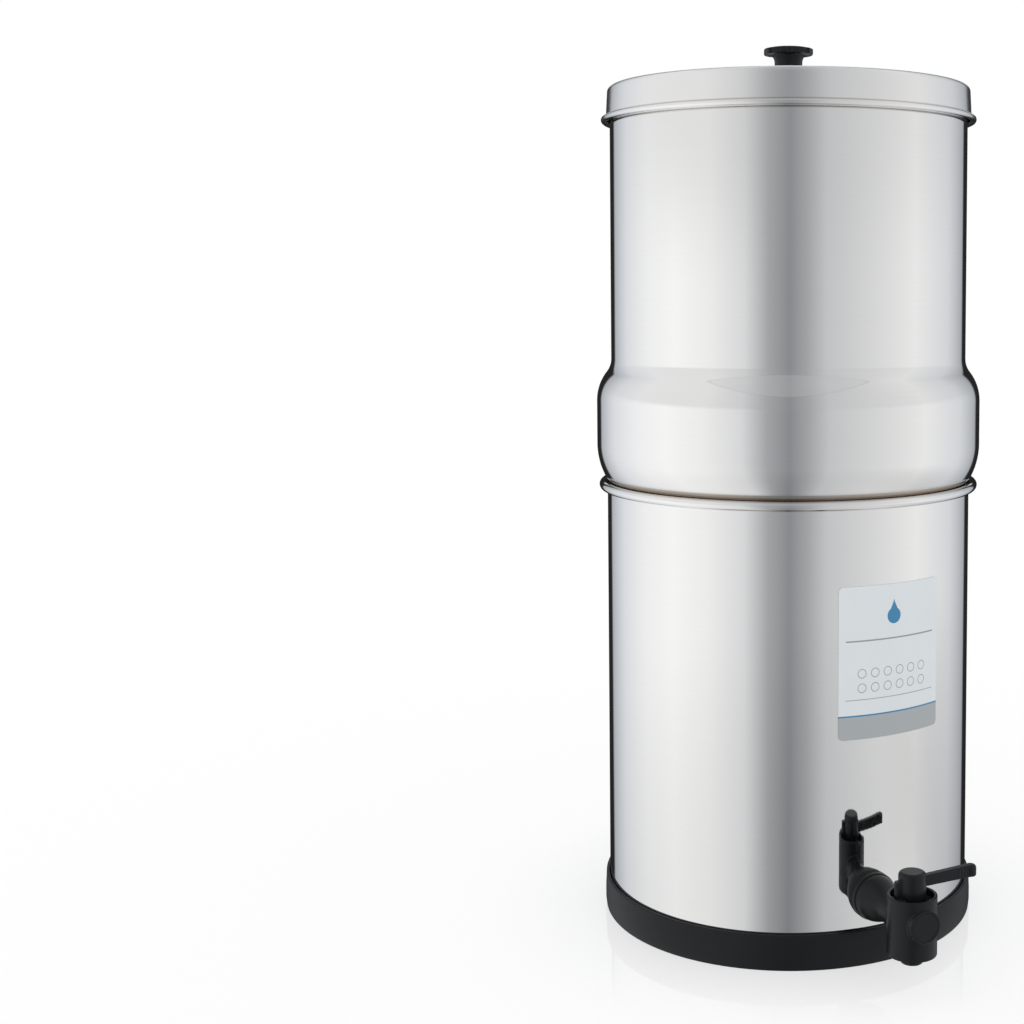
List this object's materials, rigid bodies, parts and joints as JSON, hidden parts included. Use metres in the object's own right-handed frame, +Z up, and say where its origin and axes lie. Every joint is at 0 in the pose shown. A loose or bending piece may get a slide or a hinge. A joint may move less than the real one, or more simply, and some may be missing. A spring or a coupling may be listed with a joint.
{
  "type": "gravity water filter",
  "caption": "Countertop gravity water filter: nested steel chambers on a ring base, ceramic candles inside, a lid with a knob and a quarter-turn lever tap.",
  "frame": {"origin": "centre of the base ring's underside, on the surface that the filter stands on", "axes": "+Z up along the chambers' common axis; the tap points along -Y; +X is to the right seen from the tap's side"},
  "size_m": [0.2164, 0.2668, 0.4867],
  "materials": {
    "polished_steel": "polished",
    "ring_rubber": "satin moulded",
    "label_film": "satin film",
    "tap_plastic": "satin moulded",
    "knob_plastic": "satin moulded",
    "seal_rubber": "matte",
    "candle_ceramic": "fine porous",
    "candle_carbon": "pressed block",
    "mount_plastic": "satin moulded",
    "seal_silicone": "matte",
    "screw_steel": "turned"
  },
  "bodies": {
    "lower": {"base_ring": "ring_rubber", "lower_chamber": "polished_steel", "label": "label_film", "tap_body": "tap_plastic", "tap_retainer": "tap_plastic", "tap_badge": "tap_plastic", "tap_outer_washer": "seal_rubber", "tap_inner_washer": "seal_rubber", "tap_lock_nut": "tap_plastic"},
    "tap_lever": {"tap_plug": "tap_plastic", "tap_o_rings": "seal_rubber", "tap_handle": "tap_plastic"},
    "upper": {"upper_chamber": "polished_steel", "candle_1_shell": "candle_ceramic", "candle_1_core": "candle_carbon", "candle_1_mount": "mount_plastic", "candle_1_washer": "seal_silicone", "candle_1_wing_nut": "mount_plastic", "candle_2_shell": "candle_ceramic", "candle_2_core": "candle_carbon", "candle_2_mount": "mount_plastic", "candle_2_washer": "seal_silicone", "candle_2_wing_nut": "mount_plastic", "blanking_plugs": "mount_plastic", "blanking_washers": "seal_silicone", "blanking_nuts": "mount_plastic"},
    "lid": {"lid": "polished_steel", "lid_knob": "knob_plastic", "knob_washer": "screw_steel", "knob_screw": "screw_steel"}
  },
  "joints": [
    {"name": "tap_turn", "type": "hinge", "parent": "lower", "child": "tap_lever", "pos_m": [0, -0.145, 0.0368], "axis": [0, 0, -1], "range_deg": [0, 90]},
    {"name": "upper_lift", "type": "slide", "parent": "lower", "child": "upper", "axis": [0, 0, 1], "range_m": [0, 0.11]},
    {"name": "lid_lift", "type": "slide", "parent": "upper", "child": "lid", "axis": [0, 0, 1], "range_m": [0, 0.06]}
  ]
}
